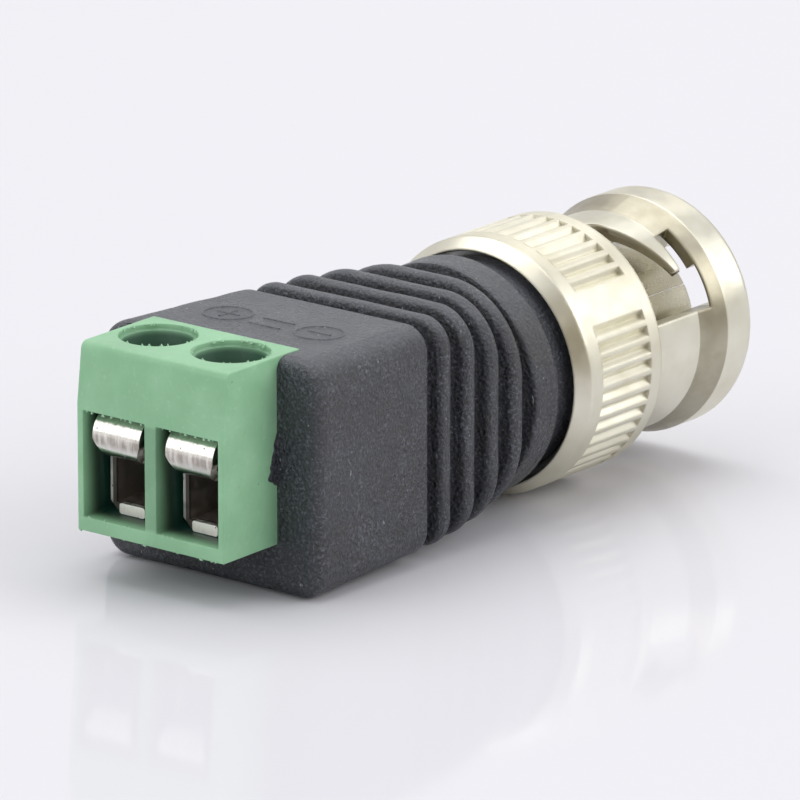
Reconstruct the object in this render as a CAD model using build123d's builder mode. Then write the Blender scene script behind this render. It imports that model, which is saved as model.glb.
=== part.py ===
from build123d import *
import math
import os

os.makedirs("parts", exist_ok=True)

# Coaxial bayonet plug with a two-way screw terminal in a moulded boot. All sizes are in millimetres.
# X runs along the plug's axis from the wire entries (x = 0) to the mating end, and Z is up.
# The origin is on the axis, in the plane of the wire entries.

# Terminal housing
terminal_pitch = 5.0         # between the two wire entries
housing_height = 10.36
housing_drop = 3.25          # from the axis down to the housing's underside
housing_length = 6.4         # at full height
foot_length = 2.2            # low step behind it that the boot grips
foot_height = 3.65
front_lean = 0.4             # how far the front face leans back at its top
lean_height = 7.0            # above the underside, where the lean starts
front_edge_radius = 0.45
entry_width = 4.23
entry_height = 5.89
sill = 0.79                  # wall under the wire entries
back_wall = 0.5              # behind the cells
cage_room_height = 6.96      # from the cell's floor to the room's ceiling
ledge = 0.35                 # ring of plastic that holds the screw's head up
shank_clearance = 0.3
access_radius = 1.95         # screwdriver hole
rim_radius = 2.126           # shallow step round the mouth of that hole
rim_depth = 0.3

# Clamp cages, contacts and screws
cage_width = 3.6
cage_length = 3.75
cage_wall = 0.4
cage_cap = 0.62              # threaded plate on top
cage_inner_height = 3.34
cage_corner = 0.5
cage_floor = 0.45
cage_floor_gap = 0.05
cage_rear_gap = 0.25         # to the cell's back wall
cage_front_gap = 0.15        # to the wall above the wire entry
lip_width = 1.74
lip_reach = 0.4
lip_height = 0.59
lip_corner = 0.15
contact_width = 2.2
contact_thickness = 0.45
contact_height = 3.26        # its underside above the cell's floor
guide_width = 3.2            # turned-up front end that leads a wire in
guide_start = 1.42           # where the guide starts to curl up
guide_radius = 1.0
guide_curl = 80.0            # degrees
guide_top_radius = 1.15
guide_top_curl = 82.0
guide_foot = 0.15            # above the bar's underside, where the guide's sides start to spread
guide_spread = 1.0           # height over which they spread
guide_depth = 1.6            # how far back the wide end goes
bar_overhang = 0.5           # bar behind the housing
pin_width = 1.0
pin_height = 0.8
pin_reach = 2.9              # solder pin behind the bar
screw_radius = 1.3
screw_tip_gap = 0.06         # above the contact
screw_bevel = 0.2
head_bevel = 0.15
thread_clearance = 0.02
head_radius = 1.7
head_height = 0.85
head_gap = 0.05
slot_width = 0.6
slot_depth = 0.4

# Moulded boot
boot_front = 4.46
boot_box_end = 14.82
boot_shift = -0.35           # the moulding sits off the plug's axis
boot_drop = 6.1              # from the axis down to the flat underside
boot_front_width = 14.98
boot_front_height = 13.2
boot_rear_width = 13.5
boot_rear_height = 12.84
boot_corner = 1.5
boot_front_round = 0.8
rib_count = 4
rib_width = 1.1
rib_bevel = 0.3
groove_depth = 0.9
corner_growth = 1.7          # how the corners' radius grows from rib to rib: 1 is evenly
collar_radius = 6.77
collar_start = 24.65
collar_end = 26.76
collar_bevel = 0.25
spigot_clearance = 0.4       # between the boot's spigot and the sleeve
spigot_end = 28.9
lead_room_width = 9.7
lead_room_top = 2.6
lead_room_bottom = -1.6

# Plug body and what it holds
body_rear = 19.0
hub_step = 0.07              # hub's radius over the sleeve's bore
flange_rear = 32.4
flange_front = 33.55
flange_clearance = 0.2
bearing_clearance = 0.08     # running fit of the sleeve on the body
seat_x = 34.6                # face that the gasket rests on
contact_gap = 0.88           # between the outer contact and the sleeve, for the mating jack
contact_wall = 0.45
contact_end = 42.75
contact_tip_length = 0.35    # where the outer contact's rim narrows
contact_tip_step = 0.18
contact_slits = 4
slit_width = 0.25
slit_length = 5.0
slit_angle = 57.0            # of the first slit, down from the top towards -Y
rear_insulator_start = 19.5
rear_insulator_end = 22.0
front_insulator_start = 33.0
front_insulator_end = 36.2
bore_step = 0.6              # ring in the body's bore between the insulators
centre_pin_radius = 0.675
centre_pin_tail_radius = 1.1
centre_pin_tail = 17.6
centre_pin_end = 42.1
centre_pin_shoulder = 0.3
centre_pin_tip = 0.8         # length of the tapered tip
centre_pin_nose = 0.15
gasket_thickness = 0.6
gasket_width = 0.45
gasket_clearance = 0.18      # between the gasket and the sleeve
lead_radius = 0.55

# Coupling sleeve
sleeve_rear = 28.05
sleeve_front = 44.39
bore_radius = 4.93           # takes the mating jack
neck_wall = 1.37
knurl_height = 1.0           # from the neck up to the knurled band
mouth_bevel = 0.53
mouth_wall = 0.17
rear_bevel_length = 0.82
lead_in = 0.2                # bevel at the rear end of the cavity
cavity_end = 33.6
knurl_start = 29.95
knurl_end = 34.35
band_end = 35.3
flare_start = 40.2
rim_start = 42.12
rim_height = 0.56            # from the neck up to the rim
rim_round = 0.35
bore_bevel = 0.3
knurl_pitch = 7.2            # degrees
knurl_groove = 0.46
pad_grooves = 2              # grooves left out at each smooth pad
pad_angle = 56.0

# Bayonet slots, angles in degrees down from the top towards -Y
slot_count = 2
entry_start = 52.0
entry_end = 75.0
tongue_root = 30.0
ramp_start = 39.6            # where the ramp begins, at entry_start
ramp_rise = 0.041            # mm of travel for each degree
window_end = 14.0            # centre of the window's round end
window_end_radius = 1.2
slot_skin = 0.36             # wall left over the lug's groove
entry_growth = 0.15          # the entry's groove beyond the neck's radius: the flare and rim close over it
relief_depth = 0.92          # of the bore in front of the tongue
cam_setback = 0.88           # how far the lug's cam lies in front of the window's edge
cam_depth = 0.27             # from the bore out to the cam's inner edge
cam_front = 40.62
cam_relief_angle = 10.0
lug_groove_width = 2.3
lug_groove_rear = 34.0
detent_angle = -27.0         # where the lug rests when coupled
detent_radius = 1.1
detent_depth = 0.35          # how far the detent reaches past the ramp
tongue_front = 40.05
window_front = 41.15

# Spring pack in the sleeve
washer_bore_clearance = 0.15
washer_clearance = 0.18
front_washer_start = 31.9
front_washer_thickness = 0.42
spring_length = 1.82
spring_thickness = 0.28
spring_waves = 3
spring_play = 0.02           # between the spring and the rear washer
spring_gap = 0.2             # from the washers' edges to the spring's, inside and outside
rear_washer_start = 29.63
rear_washer_thickness = 0.4
ring_start = 29.2
ring_thickness = 0.4
ring_width = 1.2
ring_groove_depth = 0.3
ring_gap = 30.0              # degrees
ring_play = 0.05             # between the ring and each side of its groove

# Worked out from the sizes above
housing_width = 2 * terminal_pitch
housing_base = -housing_drop
housing_top = housing_base + housing_height
foot_top = housing_base + foot_height
foot_end = housing_length + foot_length
cell_floor = housing_base + sill
cell_depth = housing_length - back_wall
entry_top = cell_floor + entry_height
cage_ceiling = cell_floor + cage_room_height
ledge_top = cage_ceiling + ledge
contact_base = cell_floor + contact_height
contact_top = contact_base + contact_thickness
pin_middle = (contact_base + contact_top) / 2
cage_base = cell_floor + cage_floor_gap
screw_setback = cell_depth - cage_rear_gap - cage_length / 2
cage_front = screw_setback - cage_length / 2
cage_room_setback = cage_front - cage_front_gap
cage_inner_base = cage_base + cage_floor
cage_cap_base = cage_inner_base + cage_inner_height
bar_end = housing_length + bar_overhang
pin_end = bar_end + pin_reach
boot_base = -boot_drop
sleeve_neck_radius = bore_radius + neck_wall
sleeve_radius = sleeve_neck_radius + knurl_height
sleeve_rim_radius = sleeve_neck_radius + rim_height
mouth_radius = sleeve_radius - mouth_bevel
sleeve_cavity_radius = mouth_radius - mouth_wall
lug_groove_radius = sleeve_neck_radius - slot_skin
entry_groove_radius = sleeve_neck_radius + entry_growth
relief_radius = bore_radius + relief_depth
cam_radius = bore_radius + cam_depth
bearing_radius = bore_radius - bearing_clearance
flange_radius = sleeve_cavity_radius - flange_clearance
hub_radius = bore_radius + hub_step
contact_radius = bore_radius - contact_gap
contact_bore = contact_radius - contact_wall
gasket_radius = bore_radius - gasket_clearance
gasket_seat_radius = gasket_radius - gasket_width
spigot_radius = sleeve_cavity_radius - spigot_clearance
washer_bore = hub_radius + washer_bore_clearance
washer_radius = sleeve_cavity_radius - washer_clearance
spring_inner = washer_bore + spring_gap
spring_outer = washer_radius - spring_gap
ring_radius = sleeve_cavity_radius + ring_groove_depth
ring_inner = ring_radius - ring_width
spring_start = rear_washer_start + rear_washer_thickness + spring_play


def turned(points):
    """Solid of revolution about the X axis from (x, radius) points."""
    with BuildPart() as body:
        with BuildSketch(Plane.XZ):
            with BuildLine():
                Polyline(*points, close=True)
            make_face()
        revolve(axis=Axis.X)
    return body.part


def disc(start, length, outer, inner):
    """Flat ring about the X axis."""
    return turned([(start, inner), (start + length, inner), (start + length, outer), (start, outer)])


# The green housing of the screw terminal
with BuildPart() as terminal_housing:
    with BuildSketch(Plane.XZ):
        with BuildLine():
            Polyline(
                (0, housing_base),
                (0, housing_base + lean_height),
                (front_lean, housing_top),
                (housing_length, housing_top),
                (housing_length, foot_top),
                (foot_end, foot_top),
                (foot_end, housing_base),
                close=True,
            )
        make_face()
    extrude(amount=housing_width / 2, both=True)
    top_edges = terminal_housing.edges().filter_by(Axis.Y).group_by(Axis.Z)[-1]
    fillet(top_edges.sort_by(Axis.X)[0], front_edge_radius)
    for side in (1, -1):
        cell_y = side * terminal_pitch / 2
        with Locations((cell_depth / 2, cell_y, (cell_floor + entry_top) / 2)):
            Box(cell_depth, entry_width, entry_height, mode=Mode.SUBTRACT)
        room_length = cell_depth - cage_room_setback
        room_height = cage_ceiling - cell_floor
        with Locations((cage_room_setback + room_length / 2, cell_y, cell_floor + room_height / 2)):
            Box(room_length, entry_width, room_height, mode=Mode.SUBTRACT)
        with BuildSketch(Plane.XY.offset(cage_ceiling)):
            with Locations((screw_setback, cell_y)):
                Circle(screw_radius + shank_clearance)
        extrude(amount=ledge, mode=Mode.SUBTRACT)
        with BuildSketch(Plane.XY.offset(ledge_top)):
            with Locations((screw_setback, cell_y)):
                Circle(access_radius)
        extrude(amount=housing_top - ledge_top, mode=Mode.SUBTRACT)
        with BuildSketch(Plane.XY.offset(housing_top - rim_depth)):
            with Locations((screw_setback, cell_y)):
                Circle(rim_radius)
        extrude(amount=rim_depth, mode=Mode.SUBTRACT)
        with Locations((housing_length - back_wall / 2, cell_y, pin_middle)):
            Box(4 * back_wall, contact_width, contact_thickness, mode=Mode.SUBTRACT)
terminal_housing.part.label = "terminal_housing"
export_step(terminal_housing.part, "parts/terminal_housing.step")


# A clamp cage: a square tube that the screw lifts, with a narrow lip on its lower front edge
def clamp_cage(cell_y):
    half = cage_width / 2
    top = cage_cap_base + cage_cap
    with BuildPart() as cage:
        with BuildSketch(Plane.YZ.offset(cage_front)):
            with BuildLine():
                Polyline(
                    (cell_y - half + cage_corner, cage_base),
                    (cell_y + half - cage_corner, cage_base),
                    (cell_y + half, cage_base + cage_corner),
                    (cell_y + half, top),
                    (cell_y - half, top),
                    (cell_y - half, cage_base + cage_corner),
                    close=True,
                )
            make_face()
            with Locations((cell_y, cage_inner_base + cage_inner_height / 2)):
                Rectangle(cage_width - 2 * cage_wall, cage_inner_height, mode=Mode.SUBTRACT)
        extrude(amount=cage_length)
        with BuildSketch(Plane.XY.offset(cage_cap_base)):
            with Locations((screw_setback, cell_y)):
                Circle(screw_radius + thread_clearance)
        extrude(amount=cage_cap, mode=Mode.SUBTRACT)
        with BuildSketch(Plane.YZ.offset(cage_front - lip_reach)):
            with Locations((cell_y, cage_base + lip_height / 2)):
                RectangleRounded(lip_width, lip_height, lip_corner)
        extrude(amount=lip_reach + cage_wall)
    return cage.part


# A contact: a tinned strip whose front end turns up to guide the wire, with a solder pin behind
def contact(cell_y):
    with BuildPart() as strip:
        with BuildSketch(Plane.XZ.offset(-cell_y)):
            with BuildLine():
                bar = Line((bar_end, pin_middle), (guide_start, pin_middle))
                curl = JernArc(bar @ 1, bar % 1, guide_radius, -guide_curl)
                JernArc(curl @ 1, curl % 1, guide_top_radius, -guide_top_curl)
            trace(line_width=contact_thickness)
        extrude(amount=guide_width / 2, both=True)
        for side in (1, -1):
            edge = cell_y + side * contact_width / 2
            outer = cell_y + side * (guide_width / 2 + 1)
            with BuildSketch(Plane.YZ):
                with BuildLine():
                    Polyline(
                        (edge, contact_base - 1),
                        (edge, contact_base + guide_foot),
                        (cell_y + side * guide_width / 2, contact_base + guide_foot + guide_spread),
                        (outer, contact_base + guide_foot + guide_spread),
                        (outer, contact_base - 1),
                        close=True,
                    )
                make_face()
            extrude(amount=guide_depth + 0.3, mode=Mode.SUBTRACT)
            with Locations(((guide_depth + bar_end + 1) / 2, (edge + outer) / 2, contact_base)):
                Box(bar_end + 1 - guide_depth, abs(outer - edge), 2 * guide_foot + 2, mode=Mode.SUBTRACT)
        with Locations(((bar_end + pin_end) / 2, cell_y, pin_middle)):
            Box(pin_end - bar_end, pin_width, pin_height)
    return strip.part


# A terminal screw: slotted head under the access hole, plain shank through the cage's cap
def terminal_screw(cell_y):
    head_base = ledge_top + head_gap
    tip = contact_top + screw_tip_gap
    with BuildPart() as screw:
        with BuildSketch(Plane.XY.offset(tip)):
            with Locations((screw_setback, cell_y)):
                Circle(screw_radius)
        extrude(amount=head_base - tip)
        chamfer(screw.edges().group_by(Axis.Z)[0], screw_bevel)
        with BuildSketch(Plane.XY.offset(head_base)):
            with Locations((screw_setback, cell_y)):
                Circle(head_radius)
        extrude(amount=head_height)
        chamfer(screw.edges().group_by(Axis.Z)[-1], head_bevel)
        with Locations((screw_setback, cell_y, head_base + head_height - slot_depth / 2)):
            Box(2 * head_radius + 1, slot_width, slot_depth, mode=Mode.SUBTRACT)
    return screw.part


for name, side in (("left", 1), ("right", -1)):
    cell_y = side * terminal_pitch / 2
    cage_part = clamp_cage(cell_y)
    cage_part.label = name + "_clamp_cage"
    export_step(cage_part, "parts/" + name + "_clamp_cage.step")
    contact_part = contact(cell_y)
    contact_part.label = name + "_contact"
    export_step(contact_part, "parts/" + name + "_contact.step")
    screw_part = terminal_screw(cell_y)
    screw_part.label = name + "_terminal_screw"
    export_step(screw_part, "parts/" + name + "_terminal_screw.step")


# The boot: a tapered box, ribs that turn from square to round, and a collar with a neck inside the sleeve
groove_width = (collar_start - boot_box_end - rib_count * rib_width) / (rib_count + 1)


def boot_section(share):
    """Width, height, corner radius and centre (y, z) of the ribbed length, from 0 at the box to 1 at the collar."""
    width = boot_rear_width + (2 * collar_radius - boot_rear_width) * share
    height = boot_rear_height + (2 * collar_radius - boot_rear_height) * share
    corner = boot_corner + (0.98 * collar_radius - boot_corner) * share**corner_growth
    middle = boot_base + boot_rear_height / 2
    return width, height, corner, boot_shift * (1 - share), middle * (1 - share)


with BuildPart() as boot:
    front_half = boot_front_width / 2
    rear_half = boot_rear_width / 2
    with BuildSketch(Plane.XZ.offset(-boot_shift - front_half)):
        with BuildLine():
            Polyline(
                (boot_front, boot_base),
                (boot_front, boot_base + boot_front_height),
                (boot_box_end, boot_base + boot_rear_height),
                (boot_box_end, boot_base),
                close=True,
            )
        make_face()
    extrude(amount=boot_front_width)
    with BuildSketch(Plane.XY.offset(boot_base)):
        with BuildLine():
            Polyline(
                (boot_front, boot_shift - front_half),
                (boot_front, boot_shift + front_half),
                (boot_box_end, boot_shift + rear_half),
                (boot_box_end, boot_shift - rear_half),
                close=True,
            )
        make_face()
    extrude(amount=boot_front_height, mode=Mode.INTERSECT)
    box_front = boot.faces().sort_by(Axis.X)[0]
    box_rear = boot.faces().sort_by(Axis.X)[-1]
    fillet(boot.edges() - box_front.edges() - box_rear.edges(), boot_corner)
    fillet(boot.faces().sort_by(Axis.X)[0].outer_wire().edges(), boot_front_round)
    chamfer(boot.faces().sort_by(Axis.X)[-1].outer_wire().edges(), rib_bevel)
    for number in range(rib_count + 1):
        groove_start = boot_box_end + number * (groove_width + rib_width)
        width, height, corner, centre_y, centre_z = boot_section((number + 0.5) / (rib_count + 1))
        with BuildSketch(Plane.YZ.offset(groove_start - rib_width / 2)):
            with Locations((centre_y, centre_z)):
                RectangleRounded(width - 2 * groove_depth, height - 2 * groove_depth, corner)
        extrude(amount=groove_width + rib_width)
    for number in range(rib_count):
        rib_start = boot_box_end + groove_width + number * (groove_width + rib_width)
        width, height, corner, centre_y, centre_z = boot_section((number + 1) / (rib_count + 1))
        with BuildPart(mode=Mode.PRIVATE) as rib:
            with BuildSketch(Plane.YZ.offset(rib_start)):
                with Locations((centre_y, centre_z)):
                    RectangleRounded(width, height, corner)
            extrude(amount=rib_width)
            for face in (rib.faces().sort_by(Axis.X)[0], rib.faces().sort_by(Axis.X)[-1]):
                chamfer(face.outer_wire().edges(), rib_bevel)
        add(rib.part)
    with BuildPart(mode=Mode.PRIVATE) as collar:
        with BuildSketch(Plane.YZ.offset(collar_start)):
            Circle(collar_radius)
        extrude(amount=collar_end - collar_start)
        chamfer(collar.edges().filter_by(GeomType.CIRCLE), collar_bevel)
    add(collar.part)
    with BuildSketch(Plane.YZ.offset(collar_end - 0.5)):
        Circle(spigot_radius)
    extrude(amount=spigot_end - collar_end + 0.5)
    # pocket for the terminal housing, open at the top as far as the housing's full height goes
    open_height = boot_front_height
    with Locations((housing_length / 2, 0, housing_base + open_height / 2)):
        Box(housing_length, housing_width, open_height, mode=Mode.SUBTRACT)
    with Locations((foot_end / 2, 0, (housing_base + foot_top) / 2)):
        Box(foot_end, housing_width, foot_height, mode=Mode.SUBTRACT)
    # room for the solder pins and leads
    room_length = body_rear - housing_length
    with Locations((housing_length + room_length / 2, 0, (foot_top + lead_room_top) / 2)):
        Box(room_length, lead_room_width, lead_room_top - foot_top, mode=Mode.SUBTRACT)
    with Locations(((foot_end + body_rear) / 2, 0, (lead_room_bottom + foot_top) / 2)):
        Box(body_rear - foot_end, lead_room_width, foot_top - lead_room_bottom, mode=Mode.SUBTRACT)
    with BuildSketch(Plane.YZ.offset(body_rear)):
        Circle(hub_radius)
    extrude(amount=spigot_end - body_rear + 1, mode=Mode.SUBTRACT)
boot.part.label = "boot"
export_step(boot.part, "parts/boot.step")


# The plug's body: hub in the boot, flange inside the sleeve, and the slotted outer contact
with BuildPart() as bnc_body:
    with BuildSketch(Plane.XZ):
        with BuildLine():
            Polyline(
                (body_rear, contact_bore),
                (body_rear, hub_radius),
                (flange_rear, hub_radius),
                (flange_rear, flange_radius),
                (flange_front, flange_radius),
                (flange_front, bearing_radius),
                (seat_x, bearing_radius),
                (seat_x, gasket_seat_radius),
                (seat_x + gasket_thickness, gasket_seat_radius),
                (seat_x + gasket_thickness, contact_radius),
                (contact_end - contact_tip_length, contact_radius),
                (contact_end, contact_radius - contact_tip_step),
                (contact_end, contact_bore),
                (front_insulator_start, contact_bore),
                (front_insulator_start, contact_bore - bore_step),
                (rear_insulator_end, contact_bore - bore_step),
                (rear_insulator_end, contact_bore),
                close=True,
            )
        make_face()
    revolve(axis=Axis.X)
    for number in range(contact_slits // 2):
        direction = math.radians(slit_angle + number * 360 / contact_slits)
        with Locations(Location((contact_end, 0, 0), (math.degrees(direction), 0, 0))):
            Box(2 * slit_length, slit_width, 3 * contact_radius, mode=Mode.SUBTRACT)
bnc_body.part.label = "bnc_body"
export_step(bnc_body.part, "parts/bnc_body.step")

front_insulator_length = front_insulator_end - front_insulator_start
front_insulator = disc(front_insulator_start, front_insulator_length, contact_bore, centre_pin_tail_radius)
front_insulator.label = "front_insulator"
export_step(front_insulator, "parts/front_insulator.step")

rear_insulator_length = rear_insulator_end - rear_insulator_start
rear_insulator = disc(rear_insulator_start, rear_insulator_length, contact_bore, centre_pin_tail_radius)
rear_insulator.label = "rear_insulator"
export_step(rear_insulator, "parts/rear_insulator.step")

centre_pin = turned(
    [
        (centre_pin_tail, 0),
        (centre_pin_tail, centre_pin_tail_radius),
        (front_insulator_end - centre_pin_shoulder, centre_pin_tail_radius),
        (front_insulator_end, centre_pin_radius),
        (centre_pin_end - centre_pin_tip, centre_pin_radius),
        (centre_pin_end - centre_pin_nose, centre_pin_radius * 0.45),
        (centre_pin_end, 0),
    ]
)
centre_pin.label = "centre_pin"
export_step(centre_pin, "parts/centre_pin.step")

gasket = disc(seat_x, gasket_thickness, gasket_radius, gasket_seat_radius)
gasket.label = "gasket"
export_step(gasket, "parts/gasket.step")


# Leads inside the boot, from the terminal's pins to the plug
def lead(start_y, end):
    run = Vector(*end) - Vector(pin_end, start_y, pin_middle)
    with BuildPart() as wire:
        with BuildSketch(Plane.YZ.offset(pin_end)):
            with Locations((start_y, pin_middle)):
                Circle(lead_radius)
        extrude(amount=run.length, dir=run)
    return wire.part


centre_lead = lead(terminal_pitch / 2, (centre_pin_tail, 0, 0))
centre_lead.label = "centre_lead"
export_step(centre_lead, "parts/centre_lead.step")

ground_y = -(contact_bore + hub_radius) / 2
ground_lead = lead(-terminal_pitch / 2, (body_rear, ground_y, 0))
ground_lead.label = "ground_lead"
export_step(ground_lead, "parts/ground_lead.step")


# The coupling sleeve: turned blank, bayonet slots with a helical ramp, and the knurl
def sector(start_x, end_x, inner, outer, from_angle, to_angle):
    """Part of a ring about the X axis. Angles in degrees down from the top towards -Y."""
    with BuildPart() as piece:
        with BuildSketch(Plane.XZ):
            with Locations(((start_x + end_x) / 2, (inner + outer) / 2)):
                Rectangle(end_x - start_x, outer - inner)
        revolve(axis=Axis.X, revolution_arc=to_angle - from_angle)
    return piece.part.rotate(Axis.X, from_angle)


def ramp_x(angle):
    """Where the ramp's face lies at an angle."""
    return ramp_start - ramp_rise * (entry_start - angle)


def ramp_band(inner, outer, width, from_angle, ahead):
    """Helical band about the X axis, from an angle to entry_start. Its front face is ahead of the ramp."""
    turn = entry_start - from_angle
    with BuildPart() as band:
        with BuildLine() as path:
            Helix(ramp_rise * 360, ramp_rise * turn, (inner + outer) / 2)
        with BuildSketch(Plane.XZ):
            with Locations(((inner + outer) / 2, -width / 2)):
                Rectangle(outer - inner, width)
        sweep(path=path.wires()[0], is_frenet=True)
    # it is made about Z and starts on +X: Z goes over to X, and its start to from_angle
    turned_band = band.part.rotate(Axis.Y, 90).rotate(Axis.X, 180 + from_angle)
    return turned_band.translate((ramp_x(from_angle) + ahead, 0, 0))


def radial_hole(x, angle, radius, inner, outer):
    """Round cutter that points away from the X axis at an angle."""
    with BuildPart() as cutter:
        with BuildSketch(Plane.XY.offset(inner)):
            with Locations((x, 0)):
                Circle(radius)
        extrude(amount=outer - inner)
    return cutter.part.rotate(Axis.X, angle)


with BuildPart() as coupling_sleeve:
    with BuildSketch(Plane.XZ):
        with BuildLine():
            Polyline(
                (sleeve_rear, sleeve_cavity_radius + lead_in / 2),
                (sleeve_rear, mouth_radius),
                (sleeve_rear + rear_bevel_length, sleeve_radius),
                (band_end, sleeve_radius),
                (band_end, sleeve_neck_radius),
                (flare_start, sleeve_neck_radius),
                (rim_start, sleeve_rim_radius),
                (sleeve_front - rim_round, sleeve_rim_radius),
                (sleeve_front - 0.1, sleeve_rim_radius - 0.1),
                (sleeve_front, sleeve_rim_radius - rim_round),
                (sleeve_front, bore_radius + bore_bevel),
                (sleeve_front - bore_bevel, bore_radius),
                (cavity_end, bore_radius),
                (cavity_end, sleeve_cavity_radius),
                (ring_start + ring_thickness + ring_play, sleeve_cavity_radius),
                (ring_start + ring_thickness + ring_play, ring_radius),
                (ring_start - ring_play, ring_radius),
                (ring_start - ring_play, sleeve_cavity_radius),
                (sleeve_rear + lead_in, sleeve_cavity_radius),
                close=True,
            )
        make_face()
    revolve(axis=Axis.X)
    outside = sleeve_radius + 1
    inside = bore_radius - 0.5
    window_end_x = ramp_x(window_end) - window_end_radius
    window_rear = window_end_x - window_end_radius
    detent_x = ramp_x(detent_angle) + cam_setback + detent_depth - detent_radius
    groove_end = detent_angle - 12
    cam_groove_width = lug_groove_width + cam_setback
    tongue_end = entry_start + 1
    slot_cutters = [
        # the lug's way in: it opens the neck, and the flare and the rim close over it
        sector(window_rear, window_front, inside, outside, entry_start, entry_end),
        sector(window_front - 1, sleeve_front + 1, inside, entry_groove_radius, entry_start, entry_end),
        # opening in front of the tongue, with the bore relieved from there to the rim
        sector(tongue_front, window_front, relief_radius - 0.1, outside, tongue_root, tongue_end),
        sector(cam_front, sleeve_front + 1, inside, relief_radius, tongue_root, tongue_end),
        # the window along the ramp is cut through the thin wall alone, with a round end
        ramp_band(lug_groove_radius - 0.2, outside, 5, window_end, 0)
        & sector(window_rear, window_front, inside - 1, outside + 1, window_end, tongue_end),
        radial_hole(window_end_x, window_end, window_end_radius, inside, outside),
        # the lug's helical groove inside the wall, from the entry to the detent
        ramp_band(inside, lug_groove_radius, cam_groove_width, groove_end, cam_setback)
        & sector(lug_groove_rear, window_front, inside - 1, outside, groove_end - 1, tongue_end),
        sector(ramp_x(cam_relief_angle) - 1, cam_front + 0.01, inside, cam_radius, cam_relief_angle, tongue_end),
        radial_hole(detent_x, detent_angle, detent_radius, inside, lug_groove_radius),
    ]
    for number in range(slot_count):
        for cutter in slot_cutters:
            add(cutter.rotate(Axis.X, number * 360 / slot_count), mode=Mode.SUBTRACT)
    # knurl: straight grooves with two smooth pads
    groove_total = round(360 / knurl_pitch)
    pad_every = groove_total // 2
    with BuildSketch(Plane.YZ.offset(knurl_start)):
        for number in range(groove_total):
            if number % pad_every >= pad_grooves:
                angle = math.radians(pad_angle - (pad_grooves - 1) / 2 * knurl_pitch + number * knurl_pitch)
                groove_y = -sleeve_radius * math.sin(angle)
                groove_z = sleeve_radius * math.cos(angle)
                with Locations(Location((groove_y, groove_z), math.degrees(angle) + 45)):
                    Rectangle(knurl_groove, knurl_groove)
    extrude(amount=knurl_end - knurl_start, mode=Mode.SUBTRACT)
coupling_sleeve.part.label = "coupling_sleeve"
export_step(coupling_sleeve.part, "parts/coupling_sleeve.step")


# Spring pack that draws the sleeve back
front_washer = disc(front_washer_start, front_washer_thickness, washer_radius, washer_bore)
front_washer.label = "front_washer"
export_step(front_washer, "parts/front_washer.step")

rear_washer = disc(rear_washer_start, rear_washer_thickness, washer_radius, washer_bore)
rear_washer.label = "rear_washer"
export_step(rear_washer, "parts/rear_washer.step")

# waved ring: a ruled strip between two waved circles, given its thickness along the axis
def wave(radius):
    """Closed waved curve at one radius about the X axis."""
    swing = (spring_length - spring_thickness) / 2
    points = []
    for step in range(4 * spring_waves):
        angle = math.radians(step * 90 / spring_waves)
        x = spring_start + swing + swing * math.cos(spring_waves * angle)
        points.append((x, -radius * math.sin(angle), radius * math.cos(angle)))
    return Edge.make_spline(points, periodic=True)


with BuildPart() as wave_spring:
    strip = Face.make_surface_from_curves(wave(spring_inner), wave(spring_outer))
    extrude(strip, amount=spring_thickness, dir=(1, 0, 0))
wave_spring.part.label = "wave_spring"
export_step(wave_spring.part, "parts/wave_spring.step")

with BuildPart() as retaining_ring:
    with BuildSketch(Plane.YZ.offset(ring_start)):
        Circle(ring_radius)
        Circle(ring_inner, mode=Mode.SUBTRACT)
        with Locations((0, -ring_radius)):
            gap_width = 2 * ring_radius * math.sin(math.radians(ring_gap / 2))
            Rectangle(gap_width, 2 * (ring_radius - ring_inner) + 1, mode=Mode.SUBTRACT)
    extrude(amount=ring_thickness)
retaining_ring.part.label = "retaining_ring"
export_step(retaining_ring.part, "parts/retaining_ring.step")
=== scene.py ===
import bmesh
import bpy
import math
import random
from mathutils import Matrix, Vector, noise


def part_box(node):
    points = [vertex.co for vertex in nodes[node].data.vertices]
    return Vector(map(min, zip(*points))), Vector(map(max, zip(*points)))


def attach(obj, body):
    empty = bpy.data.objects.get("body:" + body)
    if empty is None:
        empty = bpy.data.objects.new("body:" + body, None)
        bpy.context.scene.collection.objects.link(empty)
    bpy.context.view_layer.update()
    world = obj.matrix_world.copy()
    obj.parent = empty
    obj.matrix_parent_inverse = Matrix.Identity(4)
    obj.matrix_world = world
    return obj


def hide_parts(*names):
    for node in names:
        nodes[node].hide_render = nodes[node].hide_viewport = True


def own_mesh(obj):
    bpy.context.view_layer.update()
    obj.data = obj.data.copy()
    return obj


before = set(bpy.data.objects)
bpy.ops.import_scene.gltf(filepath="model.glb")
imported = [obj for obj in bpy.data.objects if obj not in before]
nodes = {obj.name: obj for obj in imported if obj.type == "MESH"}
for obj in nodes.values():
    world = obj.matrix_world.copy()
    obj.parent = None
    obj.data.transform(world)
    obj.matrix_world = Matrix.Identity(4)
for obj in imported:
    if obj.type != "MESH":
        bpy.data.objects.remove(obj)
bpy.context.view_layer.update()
MM = 0.001

# Sizes in millimetres that several pieces share
PITCH, SCREW_X = 5.0, 3.775
CELLS = (("left", PITCH / 2), ("right", -PITCH / 2))
HOUSING_SIDE, HOUSING_FLOOR, HOUSING_END, FOOT_END, FOOT_TOP = 5.0, -3.25, 6.4, 8.6, 0.4


# Node-built materials, with textures measured in millimetres

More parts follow.
